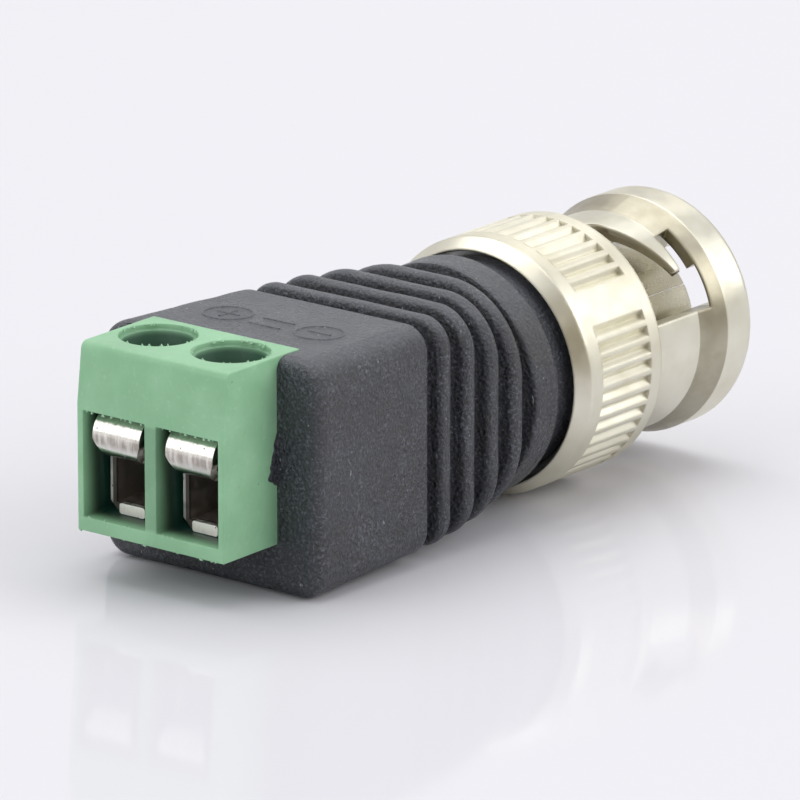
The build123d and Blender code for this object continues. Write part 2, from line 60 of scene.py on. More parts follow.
class Surface:
    """A material with one Principled shader, and short ways to add the nodes that drive it."""

    def __init__(self, name, colour, roughness, metallic=0.0, specular=0.5):
        self.material = bpy.data.materials.new(name)
        self.material.use_nodes = True
        self.tree = self.material.node_tree
        self.tree.nodes.clear()
        output = self.tree.nodes.new("ShaderNodeOutputMaterial")
        self.shader = self.tree.nodes.new("ShaderNodeBsdfPrincipled")
        self.tree.links.new(self.shader.outputs["BSDF"], output.inputs["Surface"])
        self.shader.inputs["Base Color"].default_value = (*colour, 1)
        self.shader.inputs["Roughness"].default_value = roughness
        self.shader.inputs["Metallic"].default_value = metallic
        self.shader.inputs["Specular IOR Level"].default_value = specular
        place = self.tree.nodes.new("ShaderNodeTexCoord")
        node = self.tree.nodes.new("ShaderNodeMapping")
        node.inputs["Scale"].default_value = (1 / MM, 1 / MM, 1 / MM)
        self.tree.links.new(place.outputs["Object"], node.inputs["Vector"])
        self.millimetres = node.outputs["Vector"]
        apart = self.tree.nodes.new("ShaderNodeSeparateXYZ")
        self.tree.links.new(self.millimetres, apart.inputs["Vector"])
        self.x, self.y, self.z = apart.outputs
        self.normal = None

    def scaled(self, factors):
        """The millimetre coordinates, each axis times its factor."""
        node = self.tree.nodes.new("ShaderNodeMapping")
        node.inputs["Scale"].default_value = factors
        self.tree.links.new(self.millimetres, node.inputs["Vector"])
        return node.outputs["Vector"]

    def put(self, value, socket):
        if isinstance(value, bpy.types.NodeSocket):
            self.tree.links.new(value, socket)
        else:
            socket.default_value = value

    def noise(self, size, detail=3.0, rough=0.55, at=None):
        """Cloudy texture whose features are about size millimetres."""
        node = self.tree.nodes.new("ShaderNodeTexNoise")
        node.inputs["Scale"].default_value = 1 / size
        node.inputs["Detail"].default_value = detail
        node.inputs["Roughness"].default_value = rough
        self.tree.links.new(at or self.millimetres, node.inputs["Vector"])
        return node.outputs["Fac"]

    def cells(self, size):
        """Distance from the centres of scattered cells, in cell sizes."""
        node = self.tree.nodes.new("ShaderNodeTexVoronoi")
        node.inputs["Scale"].default_value = 1 / size
        self.tree.links.new(self.millimetres, node.inputs["Vector"])
        return node.outputs["Distance"]

    def span(self, value, low, high, to_low=0.0, to_high=1.0):
        """Maps low..high to to_low..to_high, smoothly and clamped."""
        node = self.tree.nodes.new("ShaderNodeMapRange")
        node.interpolation_type = "SMOOTHSTEP"
        self.tree.links.new(value, node.inputs["Value"])
        node.inputs["From Min"].default_value = low
        node.inputs["From Max"].default_value = high
        node.inputs["To Min"].default_value = to_low
        node.inputs["To Max"].default_value = to_high
        return node.outputs["Result"]

    def maths(self, operation, a, b=0.0):
        node = self.tree.nodes.new("ShaderNodeMath")
        node.operation = operation
        self.put(a, node.inputs[0])
        self.put(b, node.inputs[1])
        return node.outputs["Value"]

    def times(self, *values):
        result = values[0]
        for value in values[1:]:
            result = self.maths("MULTIPLY", result, value)
        return result

    def blended(self, share, a, b):
        """Colour a where share is 0 and b where it is 1."""
        node = self.tree.nodes.new("ShaderNodeMix")
        node.data_type = "RGBA"
        self.put(share, node.inputs["Factor"])
        self.put(a if isinstance(a, bpy.types.NodeSocket) else (*a, 1), node.inputs["A"])
        self.put(b if isinstance(b, bpy.types.NodeSocket) else (*b, 1), node.inputs["B"])
        return node.outputs["Result"]

    def specks(self, size, reach, low, high):
        """Scattered dots, only where a cloud is dense enough."""
        dots = self.span(self.cells(size), reach * 0.4, reach, 1, 0)
        return self.times(dots, self.span(self.noise(size * 2.3, 2), low, high))

    def edges(self, radius, low=0.02, high=0.25):
        """1 on sharp edges and 0 on flats."""
        bevel = self.tree.nodes.new("ShaderNodeBevel")
        bevel.samples = 4
        bevel.inputs["Radius"].default_value = radius * MM
        geometry = self.tree.nodes.new("ShaderNodeNewGeometry")
        dot = self.tree.nodes.new("ShaderNodeVectorMath")
        dot.operation = "DOT_PRODUCT"
        self.tree.links.new(bevel.outputs["Normal"], dot.inputs[0])
        self.tree.links.new(geometry.outputs["Normal"], dot.inputs[1])
        away = self.maths("SUBTRACT", 1.0, dot.outputs["Value"])
        return self.span(away, low, high)

    def facing(self, axis, low, high):
        """1 where the surface faces along +X, +Y or +Z."""
        geometry = self.tree.nodes.new("ShaderNodeNewGeometry")
        apart = self.tree.nodes.new("ShaderNodeSeparateXYZ")
        self.tree.links.new(geometry.outputs["Normal"], apart.inputs["Vector"])
        return self.span(apart.outputs[axis], low, high)

    def soften(self, radius):
        """Rounds the shading of sharp edges."""
        bevel = self.tree.nodes.new("ShaderNodeBevel")
        bevel.samples = 4
        bevel.inputs["Radius"].default_value = radius * MM
        self.normal = bevel.outputs["Normal"]
        self.tree.links.new(self.normal, self.shader.inputs["Normal"])

    def raise_by(self, height, distance, strength=1.0):
        """Bump whose full height is distance millimetres."""
        node = self.tree.nodes.new("ShaderNodeBump")
        node.inputs["Distance"].default_value = distance * MM
        node.inputs["Strength"].default_value = strength
        self.tree.links.new(height, node.inputs["Height"])
        if self.normal is not None:
            self.tree.links.new(self.normal, node.inputs["Normal"])
        self.normal = node.outputs["Normal"]
        self.tree.links.new(self.normal, self.shader.inputs["Normal"])

    def feed(self, name, value):
        self.tree.links.new(value, self.shader.inputs[name])

    def flat(self, name, value):
        self.shader.inputs[name].default_value = value


def srgb(red, green, blue):
    """Linear colour from 0 to 255 display values."""
    def one(value):
        value /= 255
        return value / 12.92 if value <= 0.04045 else ((value + 0.055) / 1.055) ** 2.4
    return one(red), one(green), one(blue)


def green_plastic():
    s = Surface("green_polyamide", srgb(144, 194, 152), 0.4)
    cloud = s.noise(2.6, 4)
    base = s.blended(s.span(cloud, 0.35, 0.7), srgb(139, 189, 147), srgb(150, 199, 158))
    base = s.blended(s.span(s.noise(0.35, 3), 0.55, 0.8, 0, 0.3), base, srgb(176, 216, 182))
    base = s.blended(s.times(s.edges(0.12), 0.4), base, srgb(186, 224, 192))
    base = s.blended(s.times(s.specks(0.9, 0.09, 0.55, 0.62), 0.7), base, srgb(70, 105, 80))
    # painted shade: the cells, the divider between them and the driver holes are darker inside,
    # where shade falls
    off_middle = s.maths("ABSOLUTE", s.y)
    inner = s.span(off_middle, 4.86, 4.9, 1, 0)
    cell = s.times(
        inner, s.span(s.x, 0.0, 1.3), s.span(s.z, 4.4, 4.6, 1, 0), s.span(s.z, -2.9, -2.7),
    )
    divider = s.times(
        s.span(off_middle, 0.4, 0.46, 1, 0), s.span(s.z, 3.2, 3.45, 1, 0), s.span(s.z, -2.5, -2.2),
    )
    hole = s.times(
        inner, s.span(s.x, 1.2, 1.4), s.span(s.x, 6.15, 6.2, 1, 0), s.span(s.z, 7.05, 6.45, 0, 0.85),
    )
    base = s.blended(s.times(divider, 0.26), base, srgb(18, 34, 20))
    base = s.blended(s.times(cell, 0.92), base, srgb(18, 34, 24))
    base = s.blended(hole, base, srgb(16, 58, 48))
    s.feed("Base Color", base)
    s.feed("Roughness", s.span(cloud, 0.3, 0.7, 0.34, 0.5))
    s.flat("Subsurface Weight", 0.1)
    s.flat("Subsurface Radius", (0.0006, 0.0009, 0.0006))
    s.flat("Subsurface Scale", 1.0)
    s.raise_by(s.noise(0.9, 5, 0.6), 0.035, 0.5)
    s.raise_by(s.noise(0.12, 3), 0.006, 0.6)
    return s.material


def boot_rubber():
    s = Surface("black_grained_vinyl", srgb(38, 40, 46), 0.5, specular=0.85)
    base = s.blended(s.span(s.noise(3.2, 4), 0.3, 0.7), srgb(8, 12, 22), srgb(26, 31, 42))
    base = s.blended(s.times(s.specks(0.7, 0.09, 0.5, 0.6), 0.8), base, srgb(165, 167, 172))
    # painted glints: the grain is real, and its lighter spots, in patches, stand in for the glints
    # and shading of the grain
    grain = s.span(s.noise(0.17, 4, 0.75), 0.5, 0.63)
    patches = s.span(s.noise(2.4, 3), 0.35, 0.7, 0.3, 0.75)
    base = s.blended(s.times(grain, patches), base, srgb(112, 118, 130))
    # painted light: surfaces that face up are lighter, as the top catches more light
    base = s.blended(s.times(s.facing("Z", 0.35, 0.95), 0.45), base, srgb(94, 98, 106))
    whiskers = s.times(
        s.span(s.noise(0.5, 1, at=s.scaled((2.2, 2.2, 0.9))), 0.75, 0.77),
        s.span(s.noise(3, 2), 0.52, 0.56),
    )
    base = s.blended(whiskers, base, srgb(176, 178, 180))
    # lighter edges: partly scuffs, partly a painted highlight along the rounded edges
    base = s.blended(s.times(s.edges(0.3, 0.01, 0.2), 0.25), base, srgb(96, 98, 105))
    s.feed("Base Color", base)
    s.feed("Roughness", s.span(s.noise(1.6, 4), 0.3, 0.7, 0.25, 0.4))
    s.raise_by(s.noise(1.7, 3), 0.08, 0.5)
    s.raise_by(s.cells(0.24), 0.09, 0.8)
    s.raise_by(s.noise(0.16, 4, 0.7), 0.13, 1.0)
    return s.material


def plated(name, colour, dark, roughness, grain=0.012, shade_bands=(), softness=0.06, matt=None):
    """Plated metal: slightly uneven, with warmer, worn edges.

    dull holds bands of (start, end, share) along x with painted shade, darker where shade falls, and
    matt is one band of (start, end, more) that is rougher.
    """
    s = Surface(name, colour, roughness, metallic=1.0)
    base = s.blended(s.span(s.noise(3.5, 3), 0.35, 0.75), colour, dark)
    # painted shade: each band is darker, in clouds
    for start, end, share in shade_bands:
        band = s.times(s.span(s.x, start, start + 0.08), s.span(s.x, end - 0.08, end, 1, 0))
        cloud = s.span(s.noise(1.3, 4), 0.2, 0.8, 0.75, 1)
        base = s.blended(s.times(band, cloud, share), base, (0.27, 0.24, 0.165))
    base = s.blended(s.times(s.specks(0.8, 0.07, 0.55, 0.65), 0.5), base, [c * 0.55 for c in dark])
    worn = [c * share for c, share in zip(colour, (1, 0.9, 0.68))]
    base = s.blended(s.times(s.edges(0.1), 0.45), base, worn)
    s.feed("Base Color", base)
    rough = s.span(s.noise(1.2, 4, 0.6), 0.3, 0.75, roughness * 0.85, roughness * 1.2)
    if matt is not None:
        start, end, more = matt
        band = s.times(s.span(s.x, start, start + 0.3), s.span(s.x, end - 0.3, end, 1, 0))
        rough = s.maths("ADD", rough, s.times(band, more))
    s.feed("Roughness", rough)
    s.soften(softness)
    s.raise_by(s.noise(0.9, 3, 0.5), grain, 0.5)
    return s.material


def stamped(name, colour, dark, roughness, along, dark_from=None, worn=None):
    """Stamped, plated strip: fine scratches along one direction, and dark pits.

    dark_from is the x at which the inside of a cell gets painted shade, and worn is a band of (low,
    high) along z.
    """
    s = Surface(name, colour, roughness, metallic=1.0)
    scratches = s.noise(0.07, 4, 0.6, at=s.scaled(along))
    base = s.blended(s.span(scratches, 0.4, 0.75), colour, dark)
    base = s.blended(s.times(s.specks(0.34, 0.2, 0.5, 0.58), 0.85), base, (0.05, 0.045, 0.04))
    base = s.blended(s.times(s.edges(0.07), 0.5), base, [min(1, c * 1.1) for c in colour])
    if worn is not None:
        low, high = worn
        band = s.times(s.span(s.z, low, low + 0.5), s.span(s.z, high - 0.4, high, 1, 0))
        patches = s.span(s.noise(0.3, 4, 0.6, at=s.scaled(along)), 0.3, 0.62, 0.25, 1)
        base = s.blended(s.times(band, patches, 0.85), base, (0.30, 0.26, 0.22))
    # painted shade: the inside of each cage is darker, darkest just behind its front
    if dark_from is not None:
        across = s.maths("ABSOLUTE", s.maths("SUBTRACT", s.maths("ABSOLUTE", s.y), PITCH / 2))
        inside = s.times(s.span(across, 1.6, 1.68, 1, 0), s.span(s.x, dark_from, dark_from + 0.08))
        deep = s.blended(s.span(s.x, 1.95, 2.1), (0.12, 0.095, 0.085), (0.42, 0.355, 0.325))
        base = s.blended(s.times(inside, 0.9), base, deep)
    s.feed("Base Color", base)
    s.feed("Roughness", s.span(s.noise(0.5, 4, 0.6), 0.3, 0.75, roughness * 0.8, roughness * 1.4))
    s.raise_by(scratches, 0.004, 0.6)
    s.raise_by(s.noise(0.7, 3), 0.02, 0.4)
    return s.material


def moulded(name, colour, roughness):
    """Plain moulded or dipped piece with faint mottling."""
    s = Surface(name, colour, roughness)
    base = s.blended(s.span(s.noise(1.5, 4), 0.35, 0.7), colour, [c * 0.82 for c in colour])
    base = s.blended(s.times(s.edges(0.1), 0.35), base, [min(1, c * 1.3 + 0.02) for c in colour])
    s.feed("Base Color", base)
    s.feed("Roughness", s.span(s.noise(0.6, 3), 0.3, 0.7, roughness * 0.85, roughness * 1.15))
    s.soften(0.05)
    s.raise_by(s.noise(0.25, 4), 0.01, 0.5)
    return s.material


green = green_plastic()
vinyl = boot_rubber()
nickel = plated(
    "nickel_plated_brass", (0.75, 0.73, 0.62), (0.67, 0.64, 0.51), 0.34,
    shade_bands=((40.15, 42.1, 0.78),), softness=0.22, matt=(28.9, 36.6, 0.13),
)
bright_nickel = plated("bright_nickel", (0.62, 0.59, 0.47), (0.54, 0.50, 0.38), 0.26, 0.008)
zinc = stamped("zinc_plated_steel", (1.0, 0.99, 0.93), (0.92, 0.90, 0.83), 0.5, (1, 1, 0.15), 1.8)
screw_steel = stamped("screw_steel", (0.78, 0.77, 0.73), (0.58, 0.56, 0.52), 0.26, (0.2, 0.2, 1))
tin = stamped(
    "tinned_brass", (0.84, 0.83, 0.78), (0.66, 0.64, 0.58), 0.2, (0.2, 1, 0.2), worn=(1.4, 2.5),
)
gold = plated("gold_plated_pin", (0.95, 0.72, 0.32), (0.85, 0.6, 0.24), 0.2, 0.006)
spring_steel = plated("spring_steel", (0.5, 0.5, 0.49), (0.38, 0.38, 0.37), 0.34, 0.01)
finishes = {
    "boot": vinyl,
    "terminal_housing": green,
    "left_clamp_cage": zinc,
    "right_clamp_cage": zinc,
    "left_contact": tin,
    "right_contact": tin,
    "left_terminal_screw": screw_steel,
    "right_terminal_screw": screw_steel,
    "centre_lead": moulded("red_wire_insulation", (0.45, 0.04, 0.04), 0.42),
    "ground_lead": moulded("black_wire_insulation", (0.03, 0.03, 0.034), 0.42),
    "bnc_body": bright_nickel,
    "front_insulator": moulded("white_insulator", (0.82, 0.82, 0.79), 0.34),
    "rear_insulator": moulded("white_rear_insulator", (0.82, 0.82, 0.79), 0.34),
    "centre_pin": gold,
    "gasket": moulded("red_silicone", (0.38, 0.06, 0.05), 0.5),
    "coupling_sleeve": nickel,
    "front_washer": spring_steel,
    "rear_washer": spring_steel,
    "wave_spring": spring_steel,
    "retaining_ring": spring_steel,
}
for node_name, material in finishes.items():
    mesh = nodes[node_name].data
    for index in range(max(1, len(mesh.materials))):
        if index < len(mesh.materials):
            mesh.materials[index] = material
        else:
            mesh.materials.append(material)


# Ways to make a piece. Meshes are made in millimetres, and set to metres when the piece is done.

def new_object(name, points, faces):
    mesh = bpy.data.meshes.new(name)
    mesh.from_pydata([tuple(point) for point in points], [], faces)
    mesh.validate()
    made = bpy.data.objects.new(name, mesh)
    bpy.context.scene.collection.objects.link(made)
    return made


def applied(piece):
    """Writes the piece's modifiers into its mesh."""
    bpy.context.view_layer.update()
    graph = bpy.context.evaluated_depsgraph_get()
    mesh = bpy.data.meshes.new_from_object(piece.evaluated_get(graph))
    piece.modifiers.clear()
    piece.data = mesh


def cut(piece, cutter):
    modifier = piece.modifiers.new("cut", "BOOLEAN")
    modifier.operation = "DIFFERENCE"
    modifier.solver = "EXACT"
    modifier.object = cutter
    applied(piece)
    bpy.data.objects.remove(cutter)


def done(piece, body, material, smooth_angle=None):
    """Sets a finished piece to metres, gives it its material and lets it ride on its body."""
    piece.data.transform(Matrix.Scale(MM, 4))
    piece.data.materials.clear()
    piece.data.materials.append(material)
    if smooth_angle is not None:
        piece.data.shade_flat()
        for polygon in piece.data.polygons:
            polygon.use_smooth = True
        piece.data.set_sharp_from_angle(angle=math.radians(smooth_angle))
    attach(piece, body)


def softened_copy(name, node, radius, segments):
    """Copy of a CAD solid with its sharp edges broken."""
    made = bpy.data.objects.new(name, nodes[node].data.copy())
    bpy.context.scene.collection.objects.link(made)
    made.data.transform(Matrix.Scale(1 / MM, 4))
    shape = bmesh.new()
    shape.from_mesh(made.data)
    bmesh.ops.remove_doubles(shape, verts=shape.verts, dist=0.0005)
    bmesh.ops.dissolve_limit(
        shape, angle_limit=math.radians(0.5), verts=shape.verts, edges=shape.edges,
    )
    sharp_angle = math.radians(35)
    sharp = [
        edge for edge in shape.edges
        if len(edge.link_faces) == 2 and edge.calc_face_angle(0) > sharp_angle
    ]
    bmesh.ops.bevel(
        shape, geom=sharp, offset=radius, offset_type="OFFSET", segments=segments,
        profile=0.5, affect="EDGES", clamp_overlap=True,
    )
    bmesh.ops.triangulate(shape, faces=[face for face in shape.faces if len(face.verts) > 4])
    shape.to_mesh(made.data)
    shape.free()
    return made


def block(name, low, high):
    points = [
        (x, y, z) for x in (low[0], high[0]) for y in (low[1], high[1]) for z in (low[2], high[2])
    ]
    faces = [(0, 1, 3, 2), (4, 6, 7, 5), (0, 4, 5, 1), (2, 3, 7, 6), (0, 2, 6, 4), (1, 5, 7, 3)]
    return new_object(name, points, faces)


def faces_between(rows, around, closed=False):
    """Quads between rows of points, where each row goes once around."""
    faces = []
    for i in range(rows if closed else rows - 1):
        here, there = i * around, (i + 1) % rows * around
        for k in range(around):
            n = (k + 1) % around
            faces.append((here + k, here + n, there + n, there + k))
    return faces


def tube(name, path, radius, closed, sides):
    """Round bar along a path of points that lie nearly level."""
    points = []
    count = len(path)
    for i, point in enumerate(path):
        before = path[i - 1] if i or closed else point
        after = path[(i + 1) % count] if i + 1 < count or closed else point
        along = (Vector(after) - Vector(before)).normalized()
        side = along.cross(Vector((0, 0, 1))).normalized()
        top = side.cross(along)
        for k in range(sides):
            turn = math.tau * k / sides
            points.append(Vector(point) + radius * (math.cos(turn) * side + math.sin(turn) * top))
    faces = faces_between(count, sides, closed)
    if not closed:
        faces.append(tuple(range(sides)))
        faces.append(tuple((count - 1) * sides + k for k in reversed(range(sides))))
    return new_object(name, points, faces)


def skinned(name, sections):
    """Closed shell over (x, outline) stations whose outlines have equally many points."""
    per = len(sections[0][1])
    points = [(x, y, z) for x, outline in sections for y, z in outline]
    faces = faces_between(len(sections), per)
    faces.append(tuple(reversed(range(per))))
    faces.append(tuple((len(sections) - 1) * per + k for k in range(per)))
    return new_object(name, points, faces)


# The boot, with rounded ribs and the shallow dents of the soft moulding
BOOT_FRONT, BOX_END, COLLAR_START, COLLAR_END, SPIGOT_END = 4.46, 14.82, 24.65, 26.76, 28.9
BOOT_BASE, COLLAR_RADIUS, SPIGOT_RADIUS, HUB_RADIUS, BODY_REAR = -6.1, 6.77, 6.2, 5.0, 19.0
BOX_WIDTH, BOX_TAPER, BOX_HEIGHT, BOX_DROP = 14.98, 1.48, 13.2, 0.36
BOX_CENTRE_Y, BOX_CORNER, LEAST_CORNER = -0.35, 1.5, 0.35
RIBBED_WIDTH, RIBBED_HEIGHT = 13.5, 12.84
FRONT_ROUND, BACK_ROUND, RIB_ROUND, COLLAR_ROUND = 0.8, 0.35, 0.46, 0.25
RIBS, RIB_WIDTH = 4, 1.1
GROOVE = (COLLAR_START - BOX_END - RIBS * RIB_WIDTH) / (RIBS + 1)
GROOVE_CORNER = 0.9
GROOVE_FORM = (
    (0.02, 0.72), (0.1, 0.86), (0.22, 0.9), (0.5 * GROOVE, 0.92),
    (GROOVE - 0.22, 0.9), (GROOVE - 0.1, 0.86), (GROOVE - 0.02, 0.72),
)


def outline(width, height, corner, centre_y, centre_z, inset=0.0, steps=14):
    """Rounded rectangle, moved inwards by inset."""
    corner = max(corner - inset, LEAST_CORNER)
    half_y, half_z = width / 2 - inset - corner, height / 2 - inset - corner
    signs = ((1, 1), (-1, 1), (-1, -1), (1, -1))
    points = []
    for k, (side_y, side_z) in enumerate(signs):
        y, z = centre_y + side_y * half_y, centre_z + side_z * half_z
        for i in range(steps + 1):
            turn = math.radians(90 * (k + i / steps))
            points.append((y + corner * math.cos(turn), z + corner * math.sin(turn)))
        after_y, after_z = signs[(k + 1) % 4]
        turn = math.radians(90 * (k + 1))
        start = points[-1]
        end_y = centre_y + after_y * half_y + corner * math.cos(turn)
        end_z = centre_z + after_z * half_z + corner * math.sin(turn)
        for i in range(1, steps):
            share = i / steps
            y = start[0] + (end_y - start[0]) * share
            z = start[1] + (end_z - start[1]) * share
            points.append((y, z))
    return points


def circle_outline(radius):
    """Circle with its points at the places that outline gives them."""
    points = outline(2 * radius, 2 * radius, 0.9 * radius, 0, 0)
    return [(y * radius / math.hypot(y, z), z * radius / math.hypot(y, z)) for y, z in points]


def round_profile(radius, steps=5):
    """(advance, inset) pairs of a quarter round."""
    pairs = []
    for i in range(steps + 1):
        turn = math.radians(90 * i / steps)
        pairs.append((radius * (1 - math.cos(turn)), radius * (1 - math.sin(turn))))
    return pairs


def ribbed_sizes(share):
    """Width, height, corner and centre of the ribbed length: 0 at the box and 1 at the collar."""
    width = RIBBED_WIDTH + (2 * COLLAR_RADIUS - RIBBED_WIDTH) * share
    height = RIBBED_HEIGHT + (2 * COLLAR_RADIUS - RIBBED_HEIGHT) * share
    corner = BOX_CORNER + (0.98 * COLLAR_RADIUS - BOX_CORNER) * share**1.7
    centre_z = (BOOT_BASE + RIBBED_HEIGHT / 2) * (1 - share)
    return width, height, corner, BOX_CENTRE_Y * (1 - share), centre_z


def box_outline(x, inset):
    share = (x - BOOT_FRONT) / (BOX_END - BOOT_FRONT)
    height = BOX_HEIGHT - BOX_DROP * share
    width = BOX_WIDTH - BOX_TAPER * share
    return outline(width, height, BOX_CORNER, BOX_CENTRE_Y, BOOT_BASE + height / 2, inset)


stations = []
for ahead, inset in round_profile(FRONT_ROUND):
    stations.append((BOOT_FRONT + ahead, box_outline(BOOT_FRONT + ahead, inset)))
for i in range(1, 20):
    x = BOOT_FRONT + FRONT_ROUND + (BOX_END - BOOT_FRONT - (FRONT_ROUND + BACK_ROUND)) * i / 19
    stations.append((x, box_outline(x, 0)))
for ahead, inset in reversed(round_profile(BACK_ROUND)[:-1]):
    stations.append((BOX_END - ahead, box_outline(BOX_END - ahead, inset)))
for number in range(RIBS + 1):
    start = BOX_END + number * (GROOVE + RIB_WIDTH)
    width, height, corner, centre_y, centre_z = ribbed_sizes((number + 0.5) / (RIBS + 1))
    for ahead, inset in GROOVE_FORM:
        ring = outline(width, height, corner + GROOVE_CORNER, centre_y, centre_z, inset)
        stations.append((start + ahead, ring))
    if number < RIBS:
        rib_start = start + GROOVE
        rib_sizes = ribbed_sizes((number + 1) / (RIBS + 1))
        profile = round_profile(RIB_ROUND, 6)
        for ahead, inset in profile:
            stations.append((rib_start + ahead, outline(*rib_sizes, inset)))
        for ahead, inset in reversed(profile):
            stations.append((rib_start + RIB_WIDTH - ahead, outline(*rib_sizes, inset)))
for ahead, inset in round_profile(COLLAR_ROUND, 4):
    stations.append((COLLAR_START + ahead, circle_outline(COLLAR_RADIUS - inset)))
for i in range(1, 4):
    x = COLLAR_START + COLLAR_ROUND + (COLLAR_END - COLLAR_START - 2 * COLLAR_ROUND) * i / 4
    stations.append((x, circle_outline(COLLAR_RADIUS)))
for ahead, inset in reversed(round_profile(COLLAR_ROUND, 4)):
    stations.append((COLLAR_END - ahead, circle_outline(COLLAR_RADIUS - inset)))
stations.append((COLLAR_END, circle_outline(SPIGOT_RADIUS)))
stations.append((SPIGOT_END, circle_outline(SPIGOT_RADIUS)))
boot = skinned("moulded_boot", stations)
last_dented = COLLAR_END - 0.3
normals = [vertex.normal.copy() for vertex in boot.data.vertices]
for vertex, direction in zip(boot.data.vertices, normals):
    x = vertex.co.x
    if BOOT_FRONT + 0.05 < x < last_dented and abs(direction.x) < 0.5:
        dent = noise.noise(vertex.co * 0.55) * 0.03 + noise.noise(vertex.co * 1.9) * 0.012 - 0.03
        flat_top = direction.z > 0.99 and x < BOX_END - 1
        vertex.co += direction * (0 if flat_top else dent)
ROOM_SIDE, ROOM_END = 4.85, BODY_REAR + 0.1
pocket_low = (0, -HOUSING_SIDE, HOUSING_FLOOR)
hub = circle_outline(HUB_RADIUS)
cut(boot, block("cut_pocket", pocket_low, (HOUSING_END, HOUSING_SIDE, 12)))
cut(boot, block("cut_foot", pocket_low, (FOOT_END, HOUSING_SIDE, FOOT_TOP)))
cut(boot, block("cut_room", (6.0, -ROOM_SIDE, 0.2), (ROOM_END, ROOM_SIDE, 2.6)))
cut(boot, block("cut_low_room", (8.4, -ROOM_SIDE, -1.6), (ROOM_END, ROOM_SIDE, 0.3)))
cut(boot, skinned("cut_hub", [(BODY_REAR, hub), (30, hub)]))


# The polarity signs: thin bars half sunk into the boot's sloping top
MARK_RADIUS, MARK_SUNK, RING_RADIUS, RING_POINTS = 0.1, 0.05, 1.35, 48


def on_top(x, y):
    """Point a little under the boot's sloping top."""
    fall = BOX_DROP * (x - BOOT_FRONT) / (BOX_END - BOOT_FRONT)
    return x, y, BOOT_BASE + BOX_HEIGHT - fall - MARK_SUNK


def ring_on_top(x, y):
    turns = [math.radians(360 * i / RING_POINTS) for i in range(RING_POINTS)]
    return [
        on_top(x + RING_RADIUS * math.cos(turn), y + RING_RADIUS * math.sin(turn)) for turn in turns
    ]


polarity = [
    (ring_on_top(9.74, 2.6), True),
    (ring_on_top(9.8, -3.6), True),
    ([on_top(9.74, 1.85), on_top(9.74, 3.35)], False),
    ([on_top(8.99, 2.6), on_top(10.49, 2.6)], False),
    ([on_top(9.8, -4.35), on_top(9.8, -2.85)], False),
    ([on_top(9.0, 0.6), on_top(9.0, -1.5)], False),
    ([on_top(10.3, 0.6), on_top(10.3, -1.5)], False),
]
points, faces = [], []
for path, closed in polarity:
    line = tube("line", path, MARK_RADIUS, closed, 12)
    faces += [tuple(len(points) + i for i in face.vertices) for face in line.data.polygons]
    points += [vertex.co.copy() for vertex in line.data.vertices]
    bpy.data.objects.remove(line)
done(new_object("polarity_marks", points, faces), "shell", vinyl, 40)
done(boot, "shell", vinyl, 40)
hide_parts("boot")

# Film of black moulding that crept onto the green housing's side, as (z, x) of its edge
FLASH_END = 4.6
flash_line = [
    (2.95, 4.44), (2.6, 4.3), (2.3, 4.17), (2.0, 4.19), (1.7, 4.03), (1.35, 3.98), (1.15, 3.86),
    (0.9, 3.92), (0.65, 3.74), (0.48, 3.7), (0.36, 3.86), (0.28, 4.1), (0.12, 4.22), (0.02, 4.44),
]
points, faces = [], []
for z, x in flash_line:
    points += [
        (x, -HOUSING_SIDE, z), (x + 0.02, -HOUSING_SIDE - 0.03, z),
        (FLASH_END, -HOUSING_SIDE - 0.05, z), (FLASH_END, -HOUSING_SIDE, z),
    ]
for i in range(len(flash_line) - 1):
    for k in range(4):
        n = (k + 1) % 4
        faces.append((4 * i + k, 4 * i + n, 4 * i + 4 + n, 4 * i + 4 + k))
faces += [(3, 2, 1, 0), tuple(4 * (len(flash_line) - 1) + k for k in range(4))]
done(new_object("moulding_flash", points, faces), "shell", vinyl, 30)


# The green housing: the CAD shape with its edges broken
housing = softened_copy("green_housing", "terminal_housing", 0.07, 2)
done(housing, "shell", green, 40)
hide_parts("terminal_housing")

# Crumbs of green plastic along the housing's cut edges: around the driver holes, along the top and
# bottom of the cells, and along the front lower edge
HOLE_EDGE_RADIUS, HOLE_EDGE_Z, CELL_HALF = 2.1, 7.1, 1.9
CELL_TOP, CELL_BOTTOM, LOWER_EDGE_Z, LOWER_EDGE_HALF = 3.42, -2.46, -3.2, 4.9
CRUMB_TOP = 7.24
CRUMB_CORNERS = ((-1, -1, -1), (1, -1, -1), (1, 1, -1), (-1, 1, -1), (0, 0, 1))
CRUMB_FACES = ((3, 2, 1, 0), (0, 1, 4), (1, 2, 4), (2, 3, 4), (3, 0, 4))
rng = random.Random(5)
crumb_places = []
for _, cell_y in CELLS:
    for _ in range(26):
        turn = rng.uniform(0, math.tau)
        x = SCREW_X + HOLE_EDGE_RADIUS * math.cos(turn)
        y = cell_y + HOLE_EDGE_RADIUS * math.sin(turn)
        crumb_places.append((x, y, HOLE_EDGE_Z))
    for _ in range(9):
        for z in (CELL_TOP, CELL_BOTTOM):
            crumb_places.append((0.03, cell_y + rng.uniform(-CELL_HALF, CELL_HALF), z))
for _ in range(12):
    crumb_places.append((0.04, rng.uniform(-LOWER_EDGE_HALF, LOWER_EDGE_HALF), LOWER_EDGE_Z))
points, faces = [], []
for place in crumb_places:
    size = rng.uniform(0.04, 0.12)
    first = len(points)
    for corner in CRUMB_CORNERS:
        x, y, z = [p + size * c * rng.uniform(0.4, 1.3) for p, c in zip(place, corner)]
        points.append((max(x, 0.0), y, min(z, CRUMB_TOP)))
    faces += [tuple(first + i for i in face) for face in CRUMB_FACES]
done(new_object("green_crumbs", points, faces), "shell", green)


